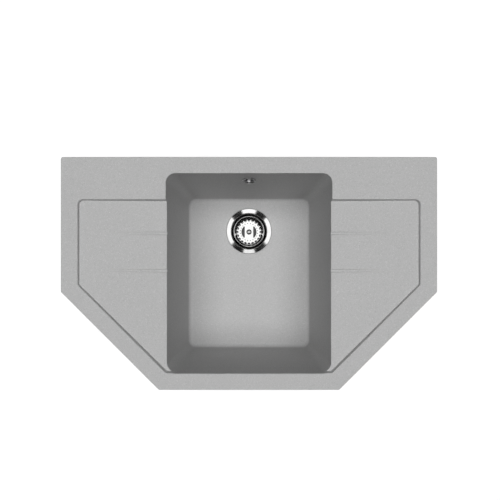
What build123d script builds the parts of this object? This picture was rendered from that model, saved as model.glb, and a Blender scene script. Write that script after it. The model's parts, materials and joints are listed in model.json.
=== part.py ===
from build123d import *
import os
from math import atan2, cos, degrees, pi, radians, sin, sqrt, tan

# Inset kitchen sink with one bowl and two drainers, in millimetres.
# The origin lies in the middle of the outline, on the underside of the rim, which rests on the worktop.
# +X is to the right, +Y is to the rear and +Z is up.

# Clearances and small margins
press_clearance = 0.05
thread_clearance = 0.05
seat_clearance = 0.1
slip_clearance = 0.3
moving_gap = 0.4
fitting_gap = 1.8  # around a piece that goes through a hole with room to spare

# Rim
rim_width = 780.0
rim_depth = 483.0
corner_cut = 203.0  # each leg of the two 45 degree front corners
rim_height = 9.0
outline_radius = 5.0
rim_edge_radius = 3.0
border = 34.3  # flat band before and behind the bowl
seat_width = 18.0  # band of the underside that lies on the worktop
tray_depth = 7.0  # underside of the drainers, below the worktop's face
tray_edge_radius = 3.0
tray_corner_radius = 10.0

# Drainers
rear_deck = 88.2
drainer_border = 35.3
drainer_front_step = 0.7  # front edge of the drainers, behind that of the bowl
drainer_corner_radius = 11.0
drainer_outer_drop = 5.5
drainer_inner_drop = 8.5
drainer_wall_draft = 17.0  # degrees
drainer_floor_radius = 1.0
groove_floor_width = 3.9
groove_depth = 1.8  # at the bowl's edge
groove_length = 125.0
groove_overrun = 8.0
groove_opening = 1.0  # cut above the drainer's floor
groove_setback = 69.8  # first groove, from the drainer's rear edge
groove_pitch = 78.0
groove_count = 2

# Bowl
bowl_width = 344.4
bowl_height = 190.0
bowl_draft = 6.0  # degrees
bowl_corner_radius = 20.0
bowl_floor_radius = 9.0
bowl_lip_radius = 1.5
wall = 8.0
floor_fall = 4.0  # rise of the floor over the bowl's length
drain_setback = 101.2  # drain's axis, from the bowl's rear edge
drain_flat_margin = 4.0
drain_boss_margin = 6.0
drain_boss_drop = 4.0

# Strainer dish
sheet = 1.2
lip_radius = 56.5
lip_rise = 0.6
lip_width = 11.1
lip_fall = 2.0
throat_inset = 0.6
throat_start = 6.0
dish_depth = 40.0
dish_cone_height = 14.0
dish_cone_width = 12.0
dish_bend_radius = 2.5
drain_opening_radius = 26.0
spoke_width = 6.0
spoke_count = 3
spoke_start_angle = 30.0
dish_hub_radius = 9.0
dish_hub_height = 3.0
flange_seat_clearance = 1.5
flange_gasket_height = 0.8  # at its thin inner edge
flange_gasket_setback = 3.0
flange_gasket_margin = 1.0

# Clamp screw and its insert
screw_radius = 3.0
screw_end = 1.4  # beyond the insert
screw_head_radius = 6.0
screw_head_height = 6.5
screw_slot_width = 1.6
screw_slot_depth = 2.5
insert_gap = 5.6  # between the dish's hub and the insert
insert_radius = 5.0
insert_length = 12.0

# Basket
basket_sheet = 1.0
basket_gap = 5.8
basket_rim_depth = 6.0  # below the bowl's floor
basket_bead_radius = 1.0
basket_base_radius = 33.0
basket_bend_radius = 2.0
hole_radius = 1.1
hole_count = 20
hole_margin = 0.4
edge_hole_radius = 3.9
edge_hole_circle = 31.2
wall_hole_share = 0.55  # place along the sloping side, from the base up
grip_width = 22.0
grip_window_margin = 0.2
grip_window_corner = 1.5
rivet_radius = 7.0
rivet_height = 3.2
rivet_shank_radius = 2.5
rivet_tail = 2.0
well_radius = 21.0
well_depth = 8.0
well_drain_radius = 1.5
well_drain_circle = 13.0
well_drain_count = 4
stem_wall = 1.8
stem_cap = 2.0
stem_lip = 1.4
stem_lip_height = 0.9
peg_radius = 3.0
peg_rise = 2.4
stem_washer_radius = 6.5
stem_washer_height = 0.8
stopper_disc_margin = 1.0
stopper_disc_height = 2.0
stopper_overlap = 5.0
stopper_height = 3.0
stopper_bevel = 1.6

# Overflow hose and its unions
hose_bore_radius = 7.0
hose_root_radius = 8.6
hose_crest_radius = 10.6
hose_cuff_length = 20.0
hose_rib_pitch = 4.2
hose_rib_turns = (0, 0.25, 0.55, 0.8)  # corners of one rib, as shares of the pitch
hose_collar_length = 2.5
hose_collar_margin = 0.5
spigot_radius = 10.0
washer_height = 2.0
nut_wall = 2.6
nut_length = 16.0
nut_lip = 2.5
nut_sides = 16

# Waste body
body_gasket_height = 3.0
body_gasket_margin = 0.5
body_gasket_width = 10.0
body_flange_height = 4.0
body_flange_margin = 1.0
body_wall = 3.0
body_cup_gap = 2.1  # below the dish's hub
body_cone_height = 6.0
chamber_radius = 31.0
chamber_floor_gap = 2.0
chamber_floor_height = 5.0
outlet_bore_radius = 20.0
outlet_radius = 23.9
outlet_length = 24.0
insert_wall = 3.5
rib_width = 3.0
rib_height = 7.0
rib_setback = 4.0

# Overflow
overflow_drop = 43.0  # below the rim's top
overflow_hole_radius = 12.5
rosette_margin = 2.6
rosette_height = 2.4
rosette_edge_radius = 0.6
rosette_frame = 2.6
rosette_hub_radius = 4.6
rosette_bar_width = 2.6
rosette_bar_count = 2
rosette_neck_length = 5.0
rosette_neck_wall = 1.1
overflow_gasket_width = 6.0
overflow_gasket_height = 2.0
elbow_flange_margin = 0.5
elbow_flange_height = 3.0
elbow_margin = 4.0
elbow_wall = 2.0
elbow_length = 8.5  # flat enough to stand clear of the worktop's edge
elbow_stub_drop = 15.0  # way to the hose, below the overflow's middle
elbow_bend_radius = 11.0
elbow_post_radius = 4.2
overflow_screw_radius = 2.5
overflow_screw_head = 4.0
overflow_screw_sink = 1.6
overflow_screw_grip = 6.0  # length inside the elbow's post
overflow_slot_width = 0.8

# Rim seal
seal_inset = 5.0
seal_width = 6.0
seal_height = 2.0

# Fixing clips
clip_rear_setback = 140.0  # rear clips, from the sides
clip_side_setback = 151.5  # side clips, from the rear
clip_boss_radius = 9.0
clip_boss_margin = 2.0
clip_boss_drop = 12.0
dowel_radius = 4.5
dowel_length = 16.0
dowel_flange_radius = 7.0
dowel_flange_height = 1.5
clip_screw_radius = 2.5
clip_screw_grip = 7.0  # length inside the dowel with the clip slack
clip_head_radius = 5.5
clip_head_height = 4.0
clip_cross_width = 1.4
clip_cross_length = 6.0
clip_cross_depth = 2.2
worktop_limit = 39.5  # thickest worktop that the arms reach round
arm_sheet = 2.5
arm_width = 16.0
arm_heel = 9.0
arm_foot = 14.0
arm_step_run = 6.0
arm_step_rise = 6.0
arm_reach = 36.0
arm_bend_radius = 1.0
arm_corner_radius = 4.0

# Places and sizes that follow from those above; depths under the drain are below the bowl's floor
bowl_length = rim_depth - 2 * border
floor_z = rim_height - bowl_height
wall_slope = tan(radians(bowl_draft))
drainer_low_x = bowl_width / 2 - bowl_corner_radius
drainer_outer_x = rim_width / 2 - drainer_border
groove_rear_y = rim_depth / 2 - rear_deck - groove_setback
drain_y = bowl_length / 2 - drain_setback
drain_underside = wall + drain_boss_drop

lip_inner_radius = lip_radius - lip_width
throat_radius = lip_inner_radius - throat_inset
dish_floor = dish_depth - sheet / 2
dish_underside = dish_floor + dish_hub_height
drain_hole_radius = lip_inner_radius + slip_clearance + sheet / 2
flange_seat_radius = lip_radius + flange_seat_clearance
flange_seat_depth = lip_fall + sheet / 2 + seat_clearance + flange_gasket_height
drain_flat_radius = flange_seat_radius + drain_flat_margin

stem_bore_radius = screw_head_radius + moving_gap
stem_radius = stem_bore_radius + stem_wall
stem_bottom = dish_floor - moving_gap
well_bottom = dish_floor - screw_head_height - moving_gap - stem_cap
basket_base_depth = well_bottom - well_depth - basket_sheet / 2
basket_rim_radius = throat_radius - sheet / 2 - basket_gap
base_hole_circle = well_radius + hole_radius + hole_margin
grip_window_radius = well_radius - sheet - grip_window_margin
stopper_bottom = dish_floor - slip_clearance
stopper_top = stopper_bottom - stopper_height

nut_bore_radius = spigot_radius + slip_clearance / 2
nut_radius = nut_bore_radius + nut_wall
nut_grip = nut_length - washer_height - hose_collar_length - nut_lip
hose_collar_radius = spigot_radius - hose_collar_margin

body_top = drain_underside + body_gasket_height
body_gasket_bore = drain_hole_radius + body_gasket_margin
body_gasket_radius = body_gasket_bore + body_gasket_width
body_flange_radius = body_gasket_radius + body_flange_margin
drain_boss_radius = body_flange_radius + drain_boss_margin
body_bore_radius = throat_radius + sheet / 2 + fitting_gap
body_cup_depth = dish_underside + body_cup_gap
chamber_top = body_cup_depth + body_cone_height
insert_top = dish_underside + insert_gap
inlet_depth = chamber_top + body_wall + nut_radius + fitting_gap
inlet_end = chamber_radius + body_wall + fitting_gap + nut_grip  # from the drain's axis
chamber_bottom = inlet_depth + hose_bore_radius + chamber_floor_gap
outlet_shoulder = chamber_bottom + chamber_floor_height
outlet_end = outlet_shoulder + outlet_length
inlet_z = floor_z - inlet_depth
inlet_end_y = drain_y + inlet_end

overflow_z = rim_height - overflow_drop
overflow_y = bowl_length / 2 - overflow_drop * wall_slope
rosette_radius = overflow_hole_radius + rosette_margin
overflow_gasket_radius = overflow_hole_radius + overflow_gasket_width
elbow_radius = overflow_hole_radius + elbow_margin
elbow_flange_radius = overflow_gasket_radius + elbow_flange_margin
elbow_start = wall + overflow_gasket_height
elbow_end = elbow_start + elbow_length
hose_y = overflow_y + wall + nut_radius + fitting_gap
elbow_reach = (hose_y - overflow_y) / cos(radians(bowl_draft)) + elbow_stub_drop * wall_slope
elbow_corner_z = overflow_z - (hose_y - overflow_y) * wall_slope - elbow_stub_drop / cos(radians(bowl_draft))
spigot_end_z = elbow_corner_z - spigot_radius - fitting_gap - nut_grip

clip_inset = seat_width + clip_boss_radius + clip_boss_margin
clip_boss_end = tray_depth + clip_boss_drop
arm_drop = worktop_limit + arm_sheet + arm_step_rise


def flat_shape(points):
    return make_face(Polyline(*points, close=True))


def turned(points):
    # Solid of revolution about Z from corner points given as (radius, height)
    return revolve(Plane.XZ * flat_shape(points), Axis.Z)


def tube(outer, inner, top, bottom):
    return turned([(inner, bottom), (outer, bottom), (outer, top), (inner, top)])


def rod(radius, top, bottom):
    return Pos(0, 0, bottom) * extrude(Circle(radius), top - bottom)


def bent_sheet(points, bend, thickness):
    # Turned sheet metal, from the corner points of its middle line
    line = FilletPolyline(*points, radius=bend)
    return revolve(Plane.XZ * trace(line, thickness), Axis.Z)


def at_drain(shape):
    return Pos(0, drain_y, floor_z) * shape


def at_overflow(shape):
    # Local +Z points out through the bowl's rear wall, square to it
    angle = radians(bowl_draft)
    place = Plane((0, overflow_y, overflow_z), x_dir=(1, 0, 0), z_dir=(0, cos(angle), -sin(angle)))
    return place.location * shape


def at_upper_union(shape, start):
    # Local +Z runs down from the end of the elbow's spigot
    return Pos(0, hose_y, spigot_end_z - start) * Rot(180, 0, 0) * shape


def at_lower_union(shape, start):
    # Local +Z runs to the rear from the end of the waste body's spigot
    return Pos(0, inlet_end_y + start, inlet_z) * Rot(-90, 0, 0) * shape


def rim_outline(inset, radius, rear_inset=None, front_inset=None):
    # Rectangle with its two front corners cut off, moved in by an inset
    rear_inset = inset if rear_inset is None else rear_inset
    front_inset = inset if front_inset is None else front_inset
    side = rim_width / 2 - inset
    rear = rim_depth / 2 - rear_inset
    front = front_inset - rim_depth / 2
    diagonal = rim_width / 2 + rim_depth / 2 - corner_cut - inset * sqrt(2)
    face = flat_shape([
        (-side, rear), (-side, side - diagonal), (-diagonal - front, front),
        (diagonal + front, front), (side, side - diagonal), (side, rear)])
    return fillet(face.vertices(), radius)


def drainer_height(x):
    # Height of the drainer's floor, which falls towards the bowl
    share = (drainer_outer_x - abs(x)) / (drainer_outer_x - drainer_low_x)
    return rim_height - drainer_outer_drop - share * (drainer_inner_drop - drainer_outer_drop)


def tapered_block(width, length, depth):
    shrink = depth * wall_slope
    block = Wedge(width, depth, length, shrink, shrink, width - shrink, length - shrink)
    return Pos(0, 0, rim_height - depth / 2) * Rot(-90, 0, 0) * block


def round_corners(block, radius):
    tall = [edge for edge in block.edges() if edge.bounding_box().size.Z > bowl_height / 2]
    return fillet(tall, radius)


def bowl_space():
    reach = rim_width
    above_floor = turned([
        (0, floor_z), (drain_flat_radius, floor_z), (reach, floor_z + floor_fall * reach / bowl_length),
        (reach, 2 * rim_height), (0, 2 * rim_height)])
    space = tapered_block(bowl_width, bowl_length, bowl_height) & Pos(0, drain_y, 0) * above_floor
    space = round_corners(space, bowl_corner_radius)
    floor_edges = []
    for edge in space.edges():
        low = edge.bounding_box().max.Z < floor_z + 2 * floor_fall
        if low and edge.geom_type not in (GeomType.LINE, GeomType.CIRCLE):
            floor_edges.append(edge)
    return fillet(floor_edges, bowl_floor_radius)


def bowl_outside():
    grow = 2 * wall / cos(radians(bowl_draft))
    block = tapered_block(bowl_width + grow, bowl_length + grow, bowl_height + wall)
    block = round_corners(block, bowl_corner_radius + wall)
    return fillet(block.edges().group_by(Axis.Z)[0], bowl_floor_radius + wall)


def drainer_space():
    # The two floors are drawn on to meet in the middle of the bowl, where nothing is left of them
    depth = rim_height - drainer_height(0) + drainer_floor_radius
    run = depth * tan(radians(drainer_wall_draft))
    front_border = border + drainer_front_step
    top = rim_outline(drainer_border, drainer_corner_radius, rear_deck, front_border)
    bottom = rim_outline(drainer_border + run, drainer_corner_radius - run, rear_deck + run, front_border + run)
    recess = loft([Pos(0, 0, rim_height - depth) * bottom, Pos(0, 0, rim_height) * top], ruled=True)
    section = flat_shape([
        (-drainer_outer_x, drainer_height(drainer_outer_x)), (0, drainer_height(0)),
        (drainer_outer_x, drainer_height(drainer_outer_x)), (drainer_outer_x, 2 * rim_height),
        (-drainer_outer_x, 2 * rim_height)])
    recess = recess & extrude(Plane.XZ * section, rim_depth / 2, both=True)
    floor_edges = []
    for edge in recess.edges():
        box = edge.bounding_box()
        crease = box.size.X < drainer_floor_radius and abs(edge.center().X) < bowl_width / 2
        if box.max.Z < rim_height - drainer_outer_drop / 2 and not crease:
            floor_edges.append(edge)
    return fillet(floor_edges, drainer_floor_radius)


def groove_section(x):
    # Channel with a flat floor and 45 degree sides; its depth shrinks to nothing along the groove
    depth = groove_depth * (1 - (abs(x) - bowl_width / 2) / groove_length)
    floor = drainer_height(x) - depth
    half = groove_floor_width / 2
    rise = depth + groove_opening
    section = flat_shape([
        (-half, floor), (half, floor), (half + rise, floor + rise), (-half - rise, floor + rise)])
    return Plane((x, 0, 0), x_dir=(0, 1, 0), z_dir=(1, 0, 0)) * section


def groove(side, y):
    outer_x = bowl_width / 2 + groove_length + groove_overrun
    ends = [groove_section(side * drainer_low_x), groove_section(side * outer_x)]
    return Pos(0, y, 0) * loft(ends, ruled=True)


def bowl_lip_edges(body):
    # The rim's inner edge, and the edges between the bowl's walls and the drainers
    top_face = body.faces().filter_by(Plane.XY).group_by(Axis.Z)[-1][0]
    edges = [edge for wire in top_face.inner_wires() for edge in wire.edges()]
    for face in body.faces():
        box = face.bounding_box()
        inside = max(box.max.X, -box.min.X) < bowl_width / 2 + wall / 2
        inside = inside and max(box.max.Y, -box.min.Y) < bowl_length / 2 + wall / 2
        if inside and box.min.Z < floor_z / 2 and box.max.Z > 0:
            for edge in face.edges():
                span = edge.bounding_box()
                if 0 < span.min.Z < rim_height - seat_clearance:
                    edges.append(edge)
    return edges


def clip_places():
    # Name, pivot, direction of the clamping place and sense of the swing, for each clip
    rear_x = rim_width / 2 - clip_rear_setback
    rear_y = rim_depth / 2 - clip_inset
    side_x = rim_width / 2 - clip_inset
    side_y = rim_depth / 2 - clip_side_setback
    front_x = rim_width / 2 - corner_cut / 2 - clip_inset / sqrt(2)
    front_y = -rim_depth / 2 + corner_cut / 2 + clip_inset / sqrt(2)
    return [
        ("rear_left", -rear_x, rear_y, 90, 1), ("rear_right", rear_x, rear_y, 90, -1),
        ("side_left", -side_x, side_y, 180, 1), ("side_right", side_x, side_y, 0, -1),
        ("front_left", -front_x, front_y, 225, 1), ("front_right", front_x, front_y, 315, -1)]


def seal_ring(gap):
    outer = rim_outline(seal_inset + gap, outline_radius)
    inner = rim_outline(seal_inset + seal_width - gap, outline_radius)
    return extrude(outer - inner, seal_height - gap)


def sink_body():
    rim = extrude(rim_outline(0, outline_radius), rim_height)
    rim = fillet(rim.edges().group_by(Axis.Z)[-1], rim_edge_radius)
    tray = Pos(0, 0, -tray_depth) * extrude(rim_outline(seat_width, tray_corner_radius), tray_depth)
    tray = fillet(tray.edges().group_by(Axis.Z)[0], tray_edge_radius)
    body = rim + tray + bowl_outside()
    body += at_drain(rod(drain_boss_radius, -wall / 2, -drain_underside))
    for name, x, y, outward, turn in clip_places():
        body += Pos(x, y, 0) * rod(clip_boss_radius, -tray_depth / 2, -clip_boss_end)
    body = body - bowl_space() - drainer_space()
    body = fillet(bowl_lip_edges(body), bowl_lip_radius)
    for side in (-1, 1):
        for count in range(groove_count):
            body -= groove(side, groove_rear_y - count * groove_pitch)
    body -= at_drain(rod(drain_hole_radius, wall, -2 * drain_underside))
    body -= at_drain(rod(flange_seat_radius, wall, -flange_seat_depth))
    body -= at_overflow(rod(overflow_hole_radius, 2 * wall, -wall))
    body -= seal_ring(0)
    for name, x, y, outward, turn in clip_places():
        body -= Pos(x, y, 0) * rod(dowel_radius, dowel_length - clip_boss_end, -2 * clip_boss_end)
    return body


def strainer_flange():
    dish = bent_sheet([
        (lip_radius, lip_rise), (lip_inner_radius, -lip_fall), (throat_radius, -throat_start),
        (throat_radius, dish_cone_height - dish_depth), (throat_radius - dish_cone_width, -dish_depth),
        (drain_opening_radius, -dish_depth)], dish_bend_radius, sheet)
    spoke = Pos(0, 0, -dish_depth) * Box(
        drain_opening_radius + sheet, spoke_width, sheet, align=(Align.MIN, Align.CENTER, Align.CENTER))
    for count in range(spoke_count):
        dish += Rot(0, 0, spoke_start_angle + count * 360 / spoke_count) * spoke
    dish += rod(dish_hub_radius, -dish_floor, -dish_underside)
    return dish - rod(screw_radius + slip_clearance, 0, -2 * dish_depth)


def flange_gasket():
    slope = (lip_rise + lip_fall) / lip_width
    inner = lip_inner_radius + flange_gasket_setback
    outer = lip_radius - flange_gasket_margin
    flat = -lip_fall - sheet / 2 - seat_clearance
    return turned([
        (inner, -flange_seat_depth), (outer, -flange_seat_depth),
        (outer, flat + slope * (outer - lip_inner_radius)),
        (inner, flat + slope * (inner - lip_inner_radius))])


def clamp_screw():
    head_top = screw_head_height - dish_floor
    screw = rod(screw_head_radius, head_top, -dish_floor)
    screw = fillet(screw.edges().group_by(Axis.Z)[-1], screw_slot_width / 2)
    screw -= Pos(0, 0, head_top) * Box(3 * screw_head_radius, screw_slot_width, 2 * screw_slot_depth)
    return screw + rod(screw_radius, -dish_floor, -insert_top - insert_length - screw_end)


def thread_insert():
    bore = screw_radius + thread_clearance
    return tube(insert_radius - press_clearance, bore, -insert_top, -insert_top - insert_length)


def basket_drill(size, radius, depth, tilt):
    drill = Rot(0, tilt, 0) * Cylinder(size, 16 * basket_sheet)
    return Pos(radius, 0, -depth) * drill


def basket_cup():
    cup = bent_sheet([
        (basket_rim_radius, -basket_rim_depth), (basket_base_radius, -basket_base_depth),
        (0, -basket_base_depth)], basket_bend_radius, basket_sheet)
    bead = Plane.XZ * (Pos(basket_rim_radius, -basket_rim_depth) * Circle(basket_bead_radius))
    cup += revolve(bead, Axis.Z)
    windows = Circle(grip_window_radius) - Rectangle(grip_width, 4 * grip_window_radius)
    windows = fillet(windows.vertices(), grip_window_corner)
    cup -= Pos(0, 0, -2 * basket_base_depth) * extrude(windows, 2 * basket_base_depth)
    cup -= rod(rivet_shank_radius + press_clearance, 0, -2 * basket_base_depth)
    run = basket_rim_radius - basket_base_radius
    rise = basket_base_depth - basket_rim_depth
    slope = degrees(atan2(rise, run))
    step = 360 / hole_count
    wall_circle = basket_base_radius + wall_hole_share * run
    wall_depth = basket_base_depth - wall_hole_share * rise
    for count in range(hole_count):
        turn = Rot(0, 0, (count + 0.5) * step)
        cup -= turn * basket_drill(hole_radius, base_hole_circle, basket_base_depth, 0)
        cup -= turn * basket_drill(hole_radius, wall_circle, wall_depth, -slope)
        cup -= Rot(0, 0, count * step) * basket_drill(edge_hole_radius, edge_hole_circle, basket_base_depth, 0)
    return cup


def basket_rivet():
    top = basket_sheet / 2 - basket_base_depth
    dome_radius = (rivet_radius ** 2 + rivet_height ** 2) / (2 * rivet_height)
    dome = Pos(0, 0, top + rivet_height - dome_radius) * Sphere(dome_radius)
    dome = dome & rod(rivet_radius, top + 2 * rivet_height, top)
    return dome + rod(rivet_shank_radius, top, top - basket_sheet - rivet_tail)


def basket_well():
    top = well_depth - well_bottom
    well = rod(well_radius, top, -well_bottom)
    well = fillet(well.edges().group_by(Axis.Z)[0], 2 * sheet)
    inside = rod(well_radius - sheet, top, sheet - well_bottom)
    well -= fillet(inside.edges().group_by(Axis.Z)[0], sheet)
    for count in range(well_drain_count):
        drain = Pos(well_drain_circle, 0, 0) * rod(well_drain_radius, top, -2 * well_bottom)
        well -= Rot(0, 0, (count + 0.5) * 360 / well_drain_count) * drain
    return well - rod(peg_radius + press_clearance, top, -2 * well_bottom)


def basket_stem():
    # Tube over the clamp screw's head, with the disc that backs the stopper and a peg into the well
    stem = rod(stem_radius, -well_bottom, -stem_bottom)
    disc_radius = drain_opening_radius + stopper_disc_margin
    stem += rod(disc_radius, stopper_disc_height - stopper_top, -stopper_top)
    stem += rod(stem_radius + stem_lip, stem_lip_height - stem_bottom, -stem_bottom)
    stem += rod(peg_radius, peg_rise - well_bottom, -well_bottom)
    return stem - rod(stem_bore_radius, -well_bottom - stem_cap, -2 * stem_bottom)


def stem_washer():
    base = sheet - well_bottom
    return tube(stem_washer_radius, peg_radius + press_clearance, base + stem_washer_height, base)


def stopper_seal():
    bore = stem_radius + press_clearance
    recess = stem_radius + stem_lip + seat_clearance
    recess_top = stem_lip_height - stem_bottom + press_clearance
    outer = drain_opening_radius + stopper_overlap
    return turned([
        (bore, recess_top), (bore, -stopper_top), (outer - stopper_bevel, -stopper_top),
        (outer, -stopper_top - stopper_bevel), (outer, -stopper_bottom),
        (recess, -stopper_bottom), (recess, recess_top)])


def body_gasket():
    return tube(body_gasket_radius, body_gasket_bore, -drain_underside, -body_top)


def waste_body():
    cup_radius = body_bore_radius + body_wall
    shell_radius = chamber_radius + body_wall
    body = turned([
        (body_bore_radius, -body_top), (body_flange_radius, -body_top),
        (body_flange_radius, -body_top - body_flange_height),
        (cup_radius, -body_top - 2 * body_flange_height),
        (cup_radius, -body_cup_depth - body_wall), (shell_radius, -chamber_top - body_wall),
        (shell_radius, -chamber_bottom - body_wall / 2), (outlet_radius + body_wall, -outlet_shoulder),
        (outlet_radius, -outlet_shoulder), (outlet_radius, -outlet_end), (outlet_bore_radius, -outlet_end),
        (outlet_bore_radius, -outlet_shoulder + body_wall / 2), (chamber_radius, -chamber_bottom),
        (chamber_radius, -chamber_top), (body_bore_radius, -body_cup_depth)])
    to_rear = Pos(0, 0, -inlet_depth) * Rot(-90, 0, 0)
    body += to_rear * rod(spigot_radius, inlet_end, chamber_radius + body_wall / 2)
    body -= to_rear * rod(hose_bore_radius, 2 * inlet_end, chamber_radius / 2)
    rib = Pos(0, 0, -insert_top - rib_setback - rib_height / 2) * Box(
        chamber_radius + body_wall / 2, rib_width, rib_height, align=(Align.MIN, Align.CENTER, Align.CENTER))
    for count in range(spoke_count):
        body += Rot(0, 0, spoke_start_angle + count * 360 / spoke_count) * rib
    body += rod(insert_radius + insert_wall, -insert_top, -insert_top - insert_length)
    return body - rod(insert_radius, -insert_top + body_wall, -insert_top - 2 * insert_length)


def overflow_rosette():
    rosette = rod(rosette_radius, 0, -rosette_height)
    rosette = fillet(rosette.edges().group_by(Axis.Z)[0], rosette_edge_radius)
    windows = Circle(rosette_radius - rosette_frame) - Circle(rosette_hub_radius)
    for count in range(rosette_bar_count):
        turn = Rot(0, 0, count * 180 / rosette_bar_count)
        windows -= turn * Rectangle(3 * rosette_radius, rosette_bar_width)
    rosette -= Pos(0, 0, -2 * rosette_height) * extrude(windows, 3 * rosette_height)
    rosette -= rod(overflow_screw_radius + slip_clearance, wall, -wall)
    rosette -= rod(overflow_screw_head + slip_clearance, overflow_screw_sink - rosette_height, -wall)
    neck_radius = overflow_hole_radius - slip_clearance / 2
    return rosette + tube(neck_radius, neck_radius - rosette_neck_wall, rosette_neck_length, 0)


def overflow_screw():
    base = overflow_screw_sink - rosette_height
    screw = rod(overflow_screw_head, base, -rosette_height)
    screw = fillet(screw.edges().group_by(Axis.Z)[0], overflow_screw_sink / 2)
    slot = Box(3 * overflow_screw_head, overflow_slot_width, overflow_screw_sink)
    screw -= Pos(0, 0, -rosette_height) * slot
    return screw + rod(overflow_screw_radius, elbow_start + overflow_screw_grip, base)


def overflow_gasket():
    return tube(overflow_gasket_radius, overflow_hole_radius, elbow_start, wall)


def elbow_run(radius, start):
    # From the housing's lower half to the rear, round a bend, then straight down to the spigot's end
    angle = radians(bowl_draft)
    back = elbow_reach - start
    mouth = (0, hose_y - back * cos(angle), elbow_corner_z + back * sin(angle))
    corner = (0, hose_y, elbow_corner_z)
    line = FilletPolyline(mouth, corner, (0, hose_y, spigot_end_z), radius=elbow_bend_radius)
    return sweep(Plane(mouth, z_dir=(0, cos(angle), -sin(angle))) * Circle(radius), path=line)


def overflow_elbow():
    housing = rod(elbow_radius, elbow_end, elbow_start)
    housing = fillet(housing.edges().group_by(Axis.Z)[-1], elbow_wall)
    flange = rod(elbow_flange_radius, elbow_start + elbow_flange_height, elbow_start)
    elbow = at_overflow(housing + flange) + elbow_run(spigot_radius, elbow_start)
    elbow -= at_overflow(rod(elbow_radius - elbow_wall, elbow_end - elbow_wall, 0))
    elbow -= elbow_run(hose_bore_radius, elbow_start + elbow_flange_height)
    elbow += at_overflow(rod(elbow_post_radius, elbow_end - elbow_wall / 2, elbow_start))
    return elbow - at_overflow(rod(overflow_screw_radius + thread_clearance, elbow_end - elbow_wall, 0))


def union_nut():
    # Starts at its open end on local Z = 0; the lip that holds the hose's collar is at the far end
    nut = extrude(RegularPolygon(nut_radius, nut_sides), nut_length)
    nut -= rod(nut_bore_radius, nut_length - nut_lip, 0)
    return nut - rod(hose_root_radius + slip_clearance, 2 * nut_length, 0)


def union_washer():
    return tube(spigot_radius - seat_clearance, hose_bore_radius, washer_height, 0)


def hose_route():
    # Down from the elbow, round one quarter bend, then forward to the waste body
    start_z = spigot_end_z - washer_height
    end_y = inlet_end_y + washer_height
    bend = hose_y - end_y - hose_collar_length - hose_cuff_length
    drop = start_z - inlet_z - bend
    return start_z, bend, drop


def hose_station(distance):
    # Plane square to the hose at a distance along its middle line
    start_z, bend, drop = hose_route()
    turn = bend * pi / 2
    angle = min(max(distance - drop, 0), turn) / bend
    straight = max(distance - drop - turn, 0)
    y = hose_y - bend + bend * cos(angle) - straight
    z = start_z - min(distance, drop) - bend * sin(angle)
    return Plane((0, y, z), x_dir=(1, 0, 0), z_dir=(0, -sin(angle), -cos(angle)))


def overflow_hose():
    start_z, bend, drop = hose_route()
    cuff_end = hose_collar_length + hose_cuff_length
    length = drop + bend * pi / 2 + cuff_end
    rib_count = int((length - 2 * cuff_end) / hose_rib_pitch)
    pitch = (length - 2 * cuff_end) / rib_count
    radii = (hose_root_radius, hose_crest_radius, hose_crest_radius, hose_root_radius)
    stations = [
        (0, hose_collar_radius), (hose_collar_length - press_clearance, hose_collar_radius),
        (hose_collar_length, hose_root_radius)]
    for count in range(rib_count):
        for share, radius in zip(hose_rib_turns, radii):
            stations.append((cuff_end + (count + share) * pitch, radius))
    stations += [
        (length - hose_collar_length, hose_root_radius),
        (length - hose_collar_length + press_clearance, hose_collar_radius), (length, hose_collar_radius)]
    rings = [hose_station(distance) * Circle(radius) for distance, radius in stations]
    bore = [hose_station(distance) * Circle(hose_bore_radius) for distance, radius in stations]
    return loft(rings, ruled=True) - loft(bore, ruled=True)


def clip_dowel():
    top = dowel_length - clip_boss_end
    sleeve = rod(dowel_radius - press_clearance, top, -clip_boss_end)
    sleeve += rod(dowel_flange_radius, -clip_boss_end, -clip_boss_end - dowel_flange_height)
    return sleeve - rod(clip_screw_radius + thread_clearance, top, -2 * clip_boss_end)


def clip_screw():
    screw = rod(clip_head_radius, -arm_drop, -arm_drop - clip_head_height)
    screw = fillet(screw.edges().group_by(Axis.Z)[0], clip_head_height / 3)
    for angle in (0, 90):
        cross = Box(clip_cross_length, clip_cross_width, 2 * clip_cross_depth)
        screw -= Pos(0, 0, -arm_drop - clip_head_height) * Rot(0, 0, angle) * cross
    return screw + rod(clip_screw_radius, clip_screw_grip - clip_boss_end, -arm_drop)


def clip_arm():
    # Stepped strap along local +X, turning about the screw
    low = -arm_drop
    high = -arm_drop + arm_step_rise
    lean = arm_sheet / 2
    step_end = arm_foot + arm_step_run
    side = flat_shape([
        (-arm_heel, low), (arm_foot + lean, low), (step_end + lean, high), (arm_reach, high),
        (arm_reach, high + arm_sheet), (step_end - lean, high + arm_sheet),
        (arm_foot - lean, low + arm_sheet), (-arm_heel, low + arm_sheet)])
    bends = [corner for corner in side.vertices() if -arm_heel < corner.X < arm_reach]
    side = fillet(bends, arm_bend_radius)
    arm = extrude(Plane.XZ * side, arm_width / 2, both=True)
    arm = fillet(arm.edges().filter_by(Axis.Z), arm_corner_radius)
    return arm - rod(clip_screw_radius + slip_clearance, 0, -2 * arm_drop)


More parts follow.
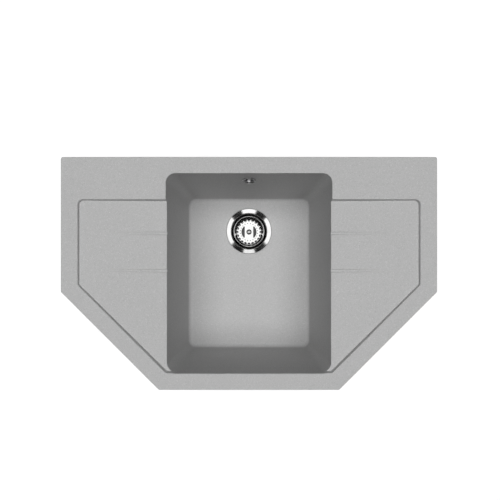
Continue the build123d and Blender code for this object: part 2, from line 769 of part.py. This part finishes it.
nut_start = -nut_grip
pieces = {
    "sink_body": sink_body(),
    "rim_seal": seal_ring(seat_clearance),
    "strainer_flange": at_drain(strainer_flange()),
    "flange_gasket": at_drain(flange_gasket()),
    "clamp_screw": at_drain(clamp_screw()),
    "thread_insert": at_drain(thread_insert()),
    "body_gasket": at_drain(body_gasket()),
    "waste_body": at_drain(waste_body()),
    "basket_cup": at_drain(basket_cup()),
    "basket_rivet": at_drain(basket_rivet()),
    "basket_well": at_drain(basket_well()),
    "basket_stem": at_drain(basket_stem()),
    "stem_washer": at_drain(stem_washer()),
    "stopper_seal": at_drain(stopper_seal()),
    "overflow_rosette": at_overflow(overflow_rosette()),
    "overflow_screw": at_overflow(overflow_screw()),
    "overflow_gasket": at_overflow(overflow_gasket()),
    "overflow_elbow": overflow_elbow(),
    "overflow_hose": overflow_hose(),
    "hose_nut_upper": at_upper_union(union_nut(), nut_start),
    "hose_washer_upper": at_upper_union(union_washer(), 0),
    "hose_nut_lower": at_lower_union(union_nut(), nut_start),
    "hose_washer_lower": at_lower_union(union_washer(), 0),
}

dowels = []
for name, x, y, outward, turn in clip_places():
    parked = outward - 90 * turn
    dowels.append(Pos(x, y, 0) * clip_dowel())
    pieces["clip_screw_" + name] = Pos(x, y, 0) * clip_screw()
    pieces["clip_arm_" + name] = Pos(x, y, 0) * Rot(0, 0, parked) * clip_arm()
pieces["clip_dowels"] = Compound(children=dowels)

os.makedirs("parts", exist_ok=True)
for name, shape in pieces.items():
    export_step(shape, os.path.join("parts", name + ".step"))
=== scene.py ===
import json
import math

import bmesh
import bpy
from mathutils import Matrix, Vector


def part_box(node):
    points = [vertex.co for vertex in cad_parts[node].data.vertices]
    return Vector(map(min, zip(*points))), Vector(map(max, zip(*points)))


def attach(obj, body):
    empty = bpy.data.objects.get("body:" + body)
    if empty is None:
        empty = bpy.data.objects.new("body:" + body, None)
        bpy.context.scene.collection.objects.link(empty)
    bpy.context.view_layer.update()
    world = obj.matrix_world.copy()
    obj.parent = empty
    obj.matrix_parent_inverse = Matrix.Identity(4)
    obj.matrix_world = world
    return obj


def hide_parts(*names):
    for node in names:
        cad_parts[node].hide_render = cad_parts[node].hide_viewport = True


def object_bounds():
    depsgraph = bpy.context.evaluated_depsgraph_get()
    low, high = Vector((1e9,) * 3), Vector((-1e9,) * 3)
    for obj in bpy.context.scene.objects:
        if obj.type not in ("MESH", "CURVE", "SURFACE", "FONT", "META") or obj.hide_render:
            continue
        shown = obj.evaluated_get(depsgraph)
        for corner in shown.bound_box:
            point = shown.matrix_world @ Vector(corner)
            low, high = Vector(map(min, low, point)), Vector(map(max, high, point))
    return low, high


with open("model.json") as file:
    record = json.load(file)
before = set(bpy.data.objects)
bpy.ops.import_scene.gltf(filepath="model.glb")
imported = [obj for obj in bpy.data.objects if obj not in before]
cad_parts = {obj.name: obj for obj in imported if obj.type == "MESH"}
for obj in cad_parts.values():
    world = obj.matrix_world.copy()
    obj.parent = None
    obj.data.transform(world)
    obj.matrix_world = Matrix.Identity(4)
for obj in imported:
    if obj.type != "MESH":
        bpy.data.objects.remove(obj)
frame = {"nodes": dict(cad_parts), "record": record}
cadLow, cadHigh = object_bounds()
scene = bpy.context.scene
scene.view_settings.view_transform = "Standard"
print("sink frame loaded:", len(frame["nodes"]), "nodes")


def middleOf(node):
    low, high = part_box(node)
    return (Vector(low) + Vector(high)) / 2


sideways = Vector((1, 0, 0))
drainAxis = middleOf("strainer_flange")  # upright, through the drain and the outlet


# camera straight above the bowl, rear edge at the top of the picture
cameraSet = {
    "place": (0.0, 0.006, 0.826), "lens": 28.46, "sensor": 36.0, "shift": (0.002, 0.041),
    "clip": (0.01, 60.0)}


def addCamera(setup):
    data = bpy.data.cameras.new("overheadCamera")
    data.lens = setup["lens"]
    data.sensor_width = setup["sensor"]
    data.shift_x, data.shift_y = setup["shift"]
    data.clip_start, data.clip_end = setup["clip"]
    camera = bpy.data.objects.new("overheadCamera", data)
    camera.location = setup["place"]
    scene.collection.objects.link(camera)
    scene.camera = camera


addCamera(cameraSet)
print("camera placed")


# one broad softbox overhead lights the composite; a cross of panels gives the steel its highlights
softboxSet = {"height": 22.5, "middle": (0.0, -0.1), "half": (14.0, 11.0), "radiance": 3.70}
crossSet = {
    "height": 22.1, "middle": (0.0, 2.5), "sideReach": 18.0, "sideHalfDepth": 5.87,
    "endReach": 16.5, "rearHalfWidth": 2.63, "frontHalfWidth": 3.15, "radiance": 1.34,
    "rearShare": 0.86}


def addPanel(name, x, y, width, depth, setup):
    data = bpy.data.lights.new(name, "AREA")
    data.shape = "RECTANGLE"
    data.size = width
    data.size_y = depth
    data.energy = math.pi * width * depth * setup["radiance"]
    panel = bpy.data.objects.new(name, data)
    panel.location = (x, y, setup["height"])
    panel.visible_camera = False
    scene.collection.objects.link(panel)
    return panel


def addSoftbox(setup):
    wide, deep = setup["half"]
    softbox = addPanel("softbox", *setup["middle"], 2 * wide, 2 * deep, setup)
    softbox.visible_glossy = False


def addCross(setup):
    x, y = setup["middle"]
    deep = setup["sideHalfDepth"]
    length = setup["endReach"] - deep
    away = deep + length / 2
    side = addPanel("sidePanel", x, y, 2 * setup["sideReach"], 2 * deep, setup)
    rear = addPanel("rearPanel", x, y + away, 2 * setup["rearHalfWidth"], length, setup)
    front = addPanel("frontPanel", x, y - away, 2 * setup["frontHalfWidth"], length, setup)
    rear.data.energy *= setup["rearShare"]  # seen in the strainer's front lip, the dimmest one
    for arm in (side, rear, front):
        arm.visible_diffuse = False


# pale floor under the outlet, and a pale surround that only the camera sees
stageSet = {
    "floorSize": 26.0, "floorGap": 0.0004, "floorColor": (0.5, 0.5, 0.5, 1), "floorGlow": 0.56,
    "surroundRadius": 14.0, "surroundSteps": 4, "surroundColor": (0, 0, 0, 1), "surroundGlow": 1.0,
    "paperRoughness": 0.9, "paperGloss": 0.1, "darkRoom": 0.02}
whiteLight = (1, 1, 1, 1)


def glowPaper(name, color, glow, setup):
    material = bpy.data.materials.new(name)
    material.use_nodes = True
    shader = material.node_tree.nodes["Principled BSDF"]
    shader.inputs["Base Color"].default_value = color
    shader.inputs["Roughness"].default_value = setup["paperRoughness"]
    shader.inputs["Specular IOR Level"].default_value = setup["paperGloss"]
    shader.inputs["Emission Color"].default_value = whiteLight
    shader.inputs["Emission Strength"].default_value = glow
    return material


def addFloor(setup):
    half = setup["floorSize"] / 2
    low = cadLow.z - setup["floorGap"]
    corners = [(-half, -half, low), (half, -half, low), (half, half, low), (-half, half, low)]
    mesh = bpy.data.meshes.new("studioFloor")
    mesh.from_pydata(corners, [], [(0, 1, 2, 3)])
    mesh.materials.append(glowPaper("floorPaper", setup["floorColor"], setup["floorGlow"], setup))
    return bpy.data.objects.new("studioFloor", mesh)


def addSurround(setup):
    shape = bmesh.new()
    bmesh.ops.create_icosphere(
        shape, subdivisions=setup["surroundSteps"], radius=setup["surroundRadius"])
    mesh = bpy.data.meshes.new("studioSurround")
    shape.to_mesh(mesh)
    shape.free()
    mesh.materials.append(
        glowPaper("surroundPaper", setup["surroundColor"], setup["surroundGlow"], setup))
    surround = bpy.data.objects.new("studioSurround", mesh)
    surround.visible_diffuse = False
    surround.visible_glossy = False
    surround.visible_transmission = False
    surround.visible_shadow = False
    return surround


def addStage(setup):
    for item in (addFloor(setup), addSurround(setup)):
        scene.collection.objects.link(item)
    world = bpy.data.worlds.new("darkRoom")
    world.use_nodes = True
    background = world.node_tree.nodes["Background"]
    background.inputs["Color"].default_value = whiteLight
    background.inputs["Strength"].default_value = setup["darkRoom"]
    scene.world = world


addSoftbox(softboxSet)
addCross(crossSet)
addStage(stageSet)
print("lights, floor and surround in place")


# steps that the finishes share; each noise in their settings is (scale, detail)
noiseSpan = (0.3, 0.7)  # nearly all values of a noise lie between these


def startFinish(name):
    material = bpy.data.materials.new(name)
    material.use_nodes = True
    tree = material.node_tree
    shader = tree.nodes["Principled BSDF"]
    coords = tree.nodes.new("ShaderNodeTexCoord").outputs["Object"]
    return material, tree, shader, coords


def addNoise(tree, vector, scale, detail):
    noise = tree.nodes.new("ShaderNodeTexNoise")
    noise.inputs["Scale"].default_value = scale
    noise.inputs["Detail"].default_value = detail
    tree.links.new(vector, noise.inputs["Vector"])
    return noise.outputs["Fac"]


def addRings(tree, distance, scale, detail):
    rings = tree.nodes.new("ShaderNodeTexNoise")
    rings.noise_dimensions = "1D"
    rings.inputs["Scale"].default_value = scale
    rings.inputs["Detail"].default_value = detail
    tree.links.new(distance, rings.inputs["W"])
    return rings.outputs["Fac"]


def addFlecks(tree, vector, scale):
    cells = tree.nodes.new("ShaderNodeTexVoronoi")
    cells.inputs["Scale"].default_value = scale
    tree.links.new(vector, cells.inputs["Vector"])
    split = tree.nodes.new("ShaderNodeSeparateColor")
    tree.links.new(cells.outputs["Color"], split.inputs["Color"])
    return split.outputs["Red"]


def addRamp(tree, value, stops, steps=False):
    ramp = tree.nodes.new("ShaderNodeValToRGB")
    ramp.color_ramp.interpolation = "CONSTANT" if steps else "LINEAR"
    marks = ramp.color_ramp.elements
    while len(marks) < len(stops):
        marks.new(1.0)
    for mark, (place, color) in zip(marks, stops):
        mark.position = place
        mark.color = (*color, 1)
    tree.links.new(value, ramp.inputs["Fac"])
    return ramp.outputs["Color"]


def addSpread(tree, value, low, high, span=noiseSpan):
    spread = tree.nodes.new("ShaderNodeMapRange")
    for name, number in zip(("From Min", "From Max", "To Min", "To Max"), (*span, low, high)):
        spread.inputs[name].default_value = number
    tree.links.new(value, spread.inputs["Value"])
    return spread.outputs["Result"]


def addBump(tree, shader, height, strength, distance, below=None):
    bump = tree.nodes.new("ShaderNodeBump")
    bump.inputs["Strength"].default_value = strength
    bump.inputs["Distance"].default_value = distance
    tree.links.new(height, bump.inputs["Height"])
    if below is not None:
        tree.links.new(below, bump.inputs["Normal"])
    tree.links.new(bump.outputs["Normal"], shader.inputs["Normal"])
    return bump.outputs["Normal"]


def addTint(tree, base, tint):
    mix = tree.nodes.new("ShaderNodeMix")
    mix.data_type = "RGBA"
    mix.blend_type = "MULTIPLY"
    mix.inputs["Factor"].default_value = 1.0
    tree.links.new(base, mix.inputs["A"])
    tree.links.new(tint, mix.inputs["B"])
    return mix.outputs["Result"]


def addProduct(tree, first, second):
    product = tree.nodes.new("ShaderNodeMath")
    product.operation = "MULTIPLY"
    tree.links.new(first, product.inputs[0])
    tree.links.new(second, product.inputs[1])
    return product.outputs["Value"]


def axisDistance(tree, coords, axis):
    # distance from an upright axis, for marks that run round it
    split = tree.nodes.new("ShaderNodeSeparateXYZ")
    tree.links.new(coords, split.inputs["Vector"])
    join = tree.nodes.new("ShaderNodeCombineXYZ")
    tree.links.new(split.outputs["X"], join.inputs["X"])
    tree.links.new(split.outputs["Y"], join.inputs["Y"])
    length = tree.nodes.new("ShaderNodeVectorMath")
    length.operation = "DISTANCE"
    tree.links.new(join.outputs["Vector"], length.inputs[0])
    length.inputs[1].default_value = (axis.x, axis.y, 0)
    return length.outputs["Value"]


def coverShader(tree, shader, tone, wear, relief, setup, metallic=0.0):
    tree.links.new(addRamp(tree, tone, setup["tones"]), shader.inputs["Base Color"])
    tree.links.new(addSpread(tree, wear, *setup["roughness"]), shader.inputs["Roughness"])
    shader.inputs["Metallic"].default_value = metallic
    addBump(tree, shader, relief, setup["bump"], setup["mark"])


# granite-look composite: small pale and dark chips in a grey body, matt, and rough-cast underneath
compositeSet = {
    "chipScale": 1050.0, "dustNoise": (2300.0, 3.0), "cloudNoise": (7.0, 3.0),
    "chips": [(0.0, (0.341, 0.341, 0.341)), (0.07, (0.412, 0.412, 0.412)),
              (0.80, (0.451, 0.451, 0.451)), (0.95, (0.526, 0.526, 0.526))],
    "dust": [(0.3, (0.94, 0.94, 0.94)), (0.7, (1.0, 1.0, 1.0))],
    "cloud": [(0.35, (0.985, 0.985, 0.985)), (0.65, (1.0, 1.0, 1.0))],
    "roughness": (0.48, 0.62), "gloss": 0.35, "bump": 0.12, "mark": 0.00025,
    "facingDown": (-0.6, -0.2), "castNoise": (240.0, 4.0), "castBump": 0.35, "castMark": 0.0006}


def graniteComposite(setup):
    material, tree, shader, coords = startFinish("graniteComposite")
    chips = addRamp(tree, addFlecks(tree, coords, setup["chipScale"]), setup["chips"], steps=True)
    dustNoise = addNoise(tree, coords, *setup["dustNoise"])
    dust = addRamp(tree, dustNoise, setup["dust"])
    cloud = addRamp(tree, addNoise(tree, coords, *setup["cloudNoise"]), setup["cloud"])
    color = addTint(tree, addTint(tree, chips, dust), cloud)
    tree.links.new(color, shader.inputs["Base Color"])
    tree.links.new(addSpread(tree, dustNoise, *setup["roughness"]), shader.inputs["Roughness"])
    shader.inputs["Specular IOR Level"].default_value = setup["gloss"]
    grain = addBump(tree, shader, dustNoise, setup["bump"], setup["mark"])
    facing = tree.nodes.new("ShaderNodeSeparateXYZ")
    normal = tree.nodes.new("ShaderNodeNewGeometry").outputs["Normal"]
    tree.links.new(normal, facing.inputs["Vector"])
    under = addSpread(tree, facing.outputs["Z"], 1.0, 0.0, setup["facingDown"])
    cast = addProduct(tree, addNoise(tree, coords, *setup["castNoise"]), under)
    addBump(tree, shader, cast, setup["castBump"], setup["castMark"], grain)
    return material


# metals turned about the drain: the strainer's bright steel, and the brass insert below it
steelSet = {
    "tones": [(0.3, (0.70, 0.70, 0.695)), (0.7, (0.78, 0.78, 0.775))], "haze": (60.0, 4.0),
    "rings": (2600.0, 3.0), "roughness": (0.05, 0.11), "bump": 0.03, "mark": 0.00004}
brassSet = {
    "tones": [(0.3, (0.62, 0.45, 0.17)), (0.7, (0.74, 0.56, 0.24))], "haze": (160.0, 4.0),
    "rings": (3000.0, 3.0), "roughness": (0.2, 0.34), "bump": 0.08, "mark": 0.00005}


def turnedMetal(name, setup):
    material, tree, shader, coords = startFinish(name)
    haze = addNoise(tree, coords, *setup["haze"])
    rings = addRings(tree, axisDistance(tree, coords, drainAxis), *setup["rings"])
    coverShader(tree, shader, haze, haze, rings, setup, metallic=1.0)
    return material


# plated pieces of the overflow: bright screw, satin rosette
chromeSet = {
    "tones": [(0.3, (0.80, 0.80, 0.81)), (0.7, (0.86, 0.86, 0.87))], "haze": (220.0, 4.0),
    "roughness": (0.04, 0.10), "bump": 0.02, "mark": 0.00003}
satinSet = {
    "tones": [(0.3, (0.40, 0.40, 0.405)), (0.7, (0.47, 0.47, 0.475))], "haze": (220.0, 4.0),
    "roughness": (0.22, 0.32), "bump": 0.03, "mark": 0.00003}


def platedChrome(name, setup):
    material, tree, shader, coords = startFinish(name)
    haze = addNoise(tree, coords, *setup["haze"])
    coverShader(tree, shader, haze, haze, haze, setup, metallic=1.0)
    return material


# zinc-plated steel of the clips, with a faint spangle
zincSet = {
    "tones": [(0.0, (0.50, 0.51, 0.53)), (0.5, (0.60, 0.61, 0.62)), (1.0, (0.68, 0.68, 0.66))],
    "spangle": 420.0, "grain": (900.0, 3.0), "roughness": (0.26, 0.42), "bump": 0.1,
    "mark": 0.00008}


def zincPlate(setup):
    material, tree, shader, coords = startFinish("zincPlate")
    spangle = addFlecks(tree, coords, setup["spangle"])
    grain = addNoise(tree, coords, *setup["grain"])
    coverShader(tree, shader, spangle, grain, grain, setup, metallic=1.0)
    return material


# moulded plastics: slow tone drift, fine spark-eroded grain
whitePlasticSet = {
    "tones": [(0.3, (0.74, 0.74, 0.72)), (0.7, (0.82, 0.82, 0.80))], "drift": (22.0, 3.0),
    "grain": (2400.0, 2.0), "roughness": (0.34, 0.46), "bump": 0.10, "mark": 0.00006}
greyPlasticSet = {
    "tones": [(0.3, (0.036, 0.036, 0.037)), (0.7, (0.056, 0.056, 0.057))], "drift": (40.0, 3.0),
    "grain": (2600.0, 2.0), "roughness": (0.40, 0.55), "bump": 0.12, "mark": 0.00006}
hosePlasticSet = {
    "tones": [(0.3, (0.56, 0.57, 0.57)), (0.7, (0.65, 0.66, 0.66))], "drift": (35.0, 3.0),
    "grain": (1800.0, 2.0), "roughness": (0.32, 0.44), "bump": 0.10, "mark": 0.00006}


def mouldedPlastic(name, setup):
    material, tree, shader, coords = startFinish(name)
    drift = addNoise(tree, coords, *setup["drift"])
    grain = addNoise(tree, coords, *setup["grain"])
    coverShader(tree, shader, drift, grain, grain, setup)
    return material


# seals: black rubber with a faint bloom, and closed-cell foam under the rim
rubberSet = {
    "tones": [(0.3, (0.022, 0.022, 0.023)), (0.7, (0.045, 0.045, 0.046))], "bloom": (120.0, 4.0),
    "grain": (3000.0, 2.0), "roughness": (0.62, 0.8), "bump": 0.2, "mark": 0.00008}
foamSet = {
    "tones": [(0.1, (0.03, 0.03, 0.03)), (0.9, (0.075, 0.075, 0.075))], "cells": 1400.0,
    "roughness": 0.92, "bump": 0.5, "mark": 0.0003}


def softRubber(setup):
    material, tree, shader, coords = startFinish("softRubber")
    bloom = addNoise(tree, coords, *setup["bloom"])
    grain = addNoise(tree, coords, *setup["grain"])
    coverShader(tree, shader, bloom, bloom, grain, setup)
    return material


def sealFoam(setup):
    material, tree, shader, coords = startFinish("sealFoam")
    cells = addFlecks(tree, coords, setup["cells"])
    tree.links.new(addRamp(tree, cells, setup["tones"]), shader.inputs["Base Color"])
    shader.inputs["Roughness"].default_value = setup["roughness"]
    addBump(tree, shader, cells, setup["bump"], setup["mark"])
    return material


finishes = {
    "composite": graniteComposite(compositeSet), "foam": sealFoam(foamSet),
    "polished_steel": turnedMetal("polishedSteel", steelSet), "rubber": softRubber(rubberSet),
    "white_plastic": mouldedPlastic("whitePlastic", whitePlasticSet),
    "grey_plastic": mouldedPlastic("greyPlastic", greyPlasticSet),
    "hose_plastic": mouldedPlastic("hosePlastic", hosePlasticSet),
    "brass": turnedMetal("turnedBrass", brassSet),
    "chrome": platedChrome("platedChrome", chromeSet), "zinc_steel": zincPlate(zincSet)}
ownFinish = {"overflow_rosette": platedChrome("satinChrome", satinSet)}
for entry in frame["record"]["subparts"]:
    for slot in frame["nodes"][entry["node"]].material_slots:
        slot.link = "OBJECT"
        slot.material = ownFinish.get(entry["node"], finishes[entry["material_slot"]])


# steps that the added pieces share
def addPiece(name, verts, faces, body, slotName, sharpAngle):
    mesh = bpy.data.meshes.new(name)
    mesh.from_pydata(verts, [], faces)
    shape = bmesh.new()
    shape.from_mesh(mesh)
    bmesh.ops.recalc_face_normals(shape, faces=shape.faces)
    shape.to_mesh(mesh)
    shape.free()
    mesh.polygons.foreach_set("use_smooth", [True] * len(mesh.polygons))
    mesh.set_sharp_from_angle(angle=math.radians(sharpAngle))
    mesh.materials.append(finishes[slotName])
    piece = bpy.data.objects.new(name, mesh)
    scene.collection.objects.link(piece)
    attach(piece, body)
    return piece


def bandFaces(first, second, sides):
    # faces between two rings of points, given by the number of each ring's first point
    faces = []
    for side in range(sides):
        after = (side + 1) % sides
        faces.append((first + side, first + after, second + after, second + side))
    return faces


def softStep(value, low, high):
    share = min(max((value - low) / (high - low), 0.0), 1.0)
    return share * share * (3 - 2 * share)


# corrugated overflow hose: down from the elbow, a quarter bend, then forward into the waste body
hoseSet = {
    "bore": 0.007, "root": 0.0086, "crest": 0.0106, "collar": 0.0095, "collarLength": 0.0025,
    "cuffLength": 0.020, "ribs": 43, "ringsPerRib": 14, "sides": 48, "rise": (0.04, 0.27),
    "fall": (0.53, 0.76), "edge": 0.0004, "lineSteps": 60, "sharp": 75.0}


def hoseLine(setup):
    top = middleOf("hose_washer_upper")
    end = middleOf("hose_washer_lower")
    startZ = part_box("hose_washer_upper")[0][2]
    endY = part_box("hose_washer_lower")[1][1]
    bend = top.y - endY - setup["collarLength"] - setup["cuffLength"]
    corner = (0, top.y, end.z)
    bendTop = (0, top.y, end.z + bend)
    bendEnd = (0, top.y - bend, end.z)
    cornerWeight = math.sqrt(0.5)  # turns the corner in a round quarter
    points = [
        ((0, top.y, startZ), 1), ((0, top.y, (startZ + bendTop[2]) / 2), 1), (bendTop, 1),
        (corner, cornerWeight),
        (bendEnd, 1), ((0, (bendEnd[1] + endY) / 2, end.z), 1), ((0, endY, end.z), 1)]
    curve = bpy.data.curves.new("hoseLine", "CURVE")
    curve.dimensions = "3D"
    spline = curve.splines.new("NURBS")
    spline.points.add(len(points) - 1)
    for point, (place, weight) in zip(spline.points, points):
        point.co = (*place, weight)
    spline.order_u = 3
    spline.use_endpoint_u = True
    spline.use_bezier_u = True
    spline.resolution_u = setup["lineSteps"]
    holder = bpy.data.objects.new("hoseLine", curve)
    scene.collection.objects.link(holder)
    bpy.context.view_layer.update()
    mesh = bpy.data.meshes.new_from_object(holder)
    line = [vertex.co.copy() for vertex in mesh.vertices]
    bpy.data.objects.remove(holder)
    bpy.data.meshes.remove(mesh)
    return line


def hoseRadius(distance, length, setup):
    fromEnd = min(distance, length - distance)
    if fromEnd <= setup["collarLength"]:
        return setup["collar"]
    cuffEnd = setup["collarLength"] + setup["cuffLength"]
    if fromEnd < cuffEnd:
        return setup["root"]
    share = (distance - cuffEnd) / (length - 2 * cuffEnd) * setup["ribs"] % 1.0
    raised = softStep(share, *setup["rise"]) - softStep(share, *setup["fall"])
    return setup["root"] + (setup["crest"] - setup["root"]) * raised


def hoseStations(length, setup):
    # collar and plain cuff at each end, ribs between them
    collarEnd = setup["collarLength"]
    cuffEnd = collarEnd + setup["cuffLength"]
    ends = [0.0, collarEnd, collarEnd + setup["edge"], cuffEnd - setup["edge"]]
    count = setup["ribs"] * setup["ringsPerRib"]
    ribs = [cuffEnd + (length - 2 * cuffEnd) * ring / count for ring in range(count + 1)]
    return ends + ribs + [length - station for station in reversed(ends)]


def addHose(setup):
    line = hoseLine(setup)
    marks = [0.0]
    for before, after in zip(line, line[1:]):
        marks.append(marks[-1] + (after - before).length)
    length = marks[-1]
    sides = setup["sides"]
    verts, outer, inner = [], [], []
    at = 0
    for station in hoseStations(length, setup):
        while at < len(line) - 2 and marks[at + 1] < station:
            at += 1
        along = (line[at + 1] - line[at]).normalized()
        place = line[at] + along * (station - marks[at])
        across = along.cross(sideways)
        outside = hoseRadius(station, length, setup)
        for radius, rings in ((outside, outer), (setup["bore"], inner)):
            rings.append(len(verts))
            for side in range(sides):
                angle = 2 * math.pi * side / sides
                reach = math.cos(angle) * sideways + math.sin(angle) * across
                verts.append(place + radius * reach)
    faces = []
    for rings in (outer, inner):
        for first, second in zip(rings, rings[1:]):
            faces += bandFaces(first, second, sides)
    for end in (0, -1):
        faces += bandFaces(outer[end], inner[end], sides)
    hose = addPiece("overflowHose", verts, faces, "sink", "hose_plastic", setup["sharp"])
    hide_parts("overflow_hose")
    print("hose length", round(length * 1000, 1), "mm,", setup["ribs"], "ribs")


addHose(hoseSet)


# union nuts: a plain collar at the open end, then a ribbed grip
nutSet = {
    "outer": 0.01275, "ribDepth": 0.0008, "bore": 0.01015, "lipBore": 0.0089, "lip": 0.0025,
    "collar": 0.003, "bevel": 0.0006, "ribs": 24, "sides": 192, "grooveFall": (0.5, 0.7),
    "grooveRise": (0.8, 1.0), "sharp": 35.0}


def addNut(name, node, start, along, setup):
    length = abs(along.dot(Vector(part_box(node)[1]) - Vector(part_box(node)[0])))
    outer, bevel, lip, depth = setup["outer"], setup["bevel"], setup["lip"], setup["ribDepth"]
    collar, bore, lipBore = setup["collar"], setup["bore"], setup["lipBore"]
    rings = [  # distance along the nut, radius, depth of the grooves
        (0, outer - bevel, 0), (bevel, outer, 0), (collar, outer, 0), (collar, outer, depth),
        (length - bevel, outer, depth), (length, outer - depth - bevel, 0), (length, lipBore, 0),
        (length - lip, lipBore, 0), (length - lip, bore, 0), (0, bore, 0)]
    across = along.cross(sideways)
    sides = setup["sides"]
    verts, faces = [], []
    for distance, radius, groove in rings:
        for side in range(sides):
            angle = 2 * math.pi * side / sides
            share = side * setup["ribs"] / sides % 1.0
            sunk = softStep(share, *setup["grooveFall"]) - softStep(share, *setup["grooveRise"])
            reach = math.cos(angle) * sideways + math.sin(angle) * across
            verts.append(start + along * distance + (radius - groove * sunk) * reach)
    for ring in range(len(rings)):
        faces += bandFaces(ring * sides, (ring + 1) % len(rings) * sides, sides)
    nut = addPiece(name, verts, faces, "sink", "white_plastic", setup["sharp"])
    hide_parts(node)


upper, lower = middleOf("hose_nut_upper"), middleOf("hose_nut_lower")
upper.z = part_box("hose_nut_upper")[1][2]
lower.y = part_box("hose_nut_lower")[0][1]
addNut("unionNutUpper", "hose_nut_upper", upper, Vector((0, 0, -1)), nutSet)
addNut("unionNutLower", "hose_nut_lower", lower, Vector((0, 1, 0)), nutSet)
print("union nuts placed")


# screw threads: a ridge that climbs round an upright axis and runs out at both ends
threadSet = {"foot": 0.0002, "footShare": 0.42, "crestShare": 0.08, "runOut": 0.7, "corners": 4}
outletThread = {
    "root": 0.0239, "height": 0.0008, "pitch": 0.00231, "sides": 96, "endGap": 0.001,
    "length": 0.0225, "sharp": 25.0}


def threadShape(axis, low, high, setup):
    pitch, sides, corners = setup["pitch"], setup["sides"], threadSet["corners"]
    foot, crest = threadSet["footShare"] * pitch, threadSet["crestShare"] * pitch
    count = int((high - low - 2 * foot) / pitch * sides)
    base = setup["root"] - threadSet["foot"]
    verts, faces = [], []
    for step in range(count + 1):
        angle = 2 * math.pi * step / sides
        x, y = math.cos(angle), math.sin(angle)
        z = low + foot + pitch * step / sides
        share = min(min(step, count - step) / sides / threadSet["runOut"], 1.0)
        top = setup["root"] + setup["height"] * share
        for radius, rise in ((base, -foot), (top, -crest), (top, crest), (base, foot)):
            verts.append((axis.x + radius * x, axis.y + radius * y, z + rise))
    for step in range(count):
        faces += bandFaces(corners * step, corners * (step + 1), corners)
    faces.append(tuple(range(corners)))
    faces.append(tuple(range(len(verts) - 1, len(verts) - 1 - corners, -1)))
    return verts, faces


def addOutletThread(setup):
    low, high = cadLow.z + setup["endGap"], cadLow.z + setup["length"]
    verts, faces = threadShape(drainAxis, low, high, setup)
    addPiece("outletThread", verts, faces, "sink", "white_plastic", setup["sharp"])


addOutletThread(outletThread)


# clip screws: rounded head with a cross recess below, threaded shank up into the dowel
clipScrewSet = {
    "head": 0.0055, "headHeight": 0.004, "headRound": 0.0013, "roundSteps": 6, "tip": 0.0007,
    "turnSides": 48, "recessHalf": 0.003, "recessSlot": 0.0007, "recessDepth": 0.0022,
    "root": 0.0021, "height": 0.00038, "pitch": 0.0009, "sides": 28, "bareNeck": 0.0032,
    "sharp": 30.0}


def turnedShape(axis, profile, sides):
    verts, faces = [], []
    for radius, z in profile:
        for side in range(sides):
            angle = 2 * math.pi * side / sides
            x, y = math.cos(angle), math.sin(angle)
            verts.append((axis.x + radius * x, axis.y + radius * y, z))
    for ring in range(len(profile) - 1):
        faces += bandFaces(ring * sides, (ring + 1) * sides, sides)
    faces.append(tuple(range(sides - 1, -1, -1)))
    faces.append(tuple(range(len(verts) - sides, len(verts))))
    return verts, faces


def plusShape(axis, half, slot, low, high):
    arms = [(slot, slot), (slot, half), (-slot, half), (-slot, slot), (-half, slot), (-half, -slot)]
    outline = arms + [(-x, -y) for x, y in arms]
    count = len(outline)
    verts = [(axis.x + x, axis.y + y, z) for z in (low, high) for x, y in outline]
    faces = bandFaces(0, count, count)
    faces += [tuple(range(count - 1, -1, -1)), tuple(range(count, 2 * count))]
    return verts, faces


def cutShape(solid, cutter):
    holders = []
    for name, (verts, faces) in (("cutSolid", solid), ("cutTool", cutter)):
        mesh = bpy.data.meshes.new(name)
        mesh.from_pydata(verts, [], faces)
        holders.append(bpy.data.objects.new(name, mesh))
        scene.collection.objects.link(holders[-1])
    cut = holders[0].modifiers.new("recess", "BOOLEAN")
    cut.operation = "DIFFERENCE"
    cut.object = holders[1]
    cut.solver = "EXACT"
    bpy.context.view_layer.update()
    result = holders[0].evaluated_get(bpy.context.evaluated_depsgraph_get()).to_mesh()
    verts = [vertex.co.copy() for vertex in result.vertices]
    faces = [tuple(face.vertices) for face in result.polygons]
    for holder in holders:
        mesh = holder.data
        bpy.data.objects.remove(holder)
        bpy.data.meshes.remove(mesh)
    return verts, faces


def screwProfile(low, high, setup):
    # radius and height from the head's face up to the tip
    head, bend, root, tip = setup["head"], setup["headRound"], setup["root"], setup["tip"]
    headTop = low + setup["headHeight"]
    profile = []
    for step in range(setup["roundSteps"] + 1):
        angle = math.pi / 2 * step / setup["roundSteps"]
        profile.append((head - bend * (1 - math.sin(angle)), low + bend * (1 - math.cos(angle))))
    return profile + [(head, headTop), (root, headTop), (root, high - tip), (root - tip, high)]


def addClipScrew(place, setup):
    node = "clip_screw_" + place
    axis = middleOf(node)
    low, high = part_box(node)[0][2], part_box(node)[1][2]
    turned = turnedShape(axis, screwProfile(low, high, setup), setup["turnSides"])
    recess = plusShape(
        axis, setup["recessHalf"], setup["recessSlot"], low - setup["headRound"],
        low + setup["recessDepth"])
    verts, faces = cutShape(turned, recess)
    threadLow = low + setup["headHeight"] + setup["bareNeck"]
    ridge, ridgeFaces = threadShape(axis, threadLow, high - setup["tip"], setup)
    faces += [tuple(corner + len(verts) for corner in face) for face in ridgeFaces]
    screw = addPiece(
        "clipScrew_" + place, verts + ridge, faces, "screw_" + place, "zinc_steel", setup["sharp"])
    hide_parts(node)


for place in ("rear_left", "rear_right", "side_left", "side_right", "front_left", "front_right"):
    addClipScrew(place, clipScrewSet)
print("threads cut")
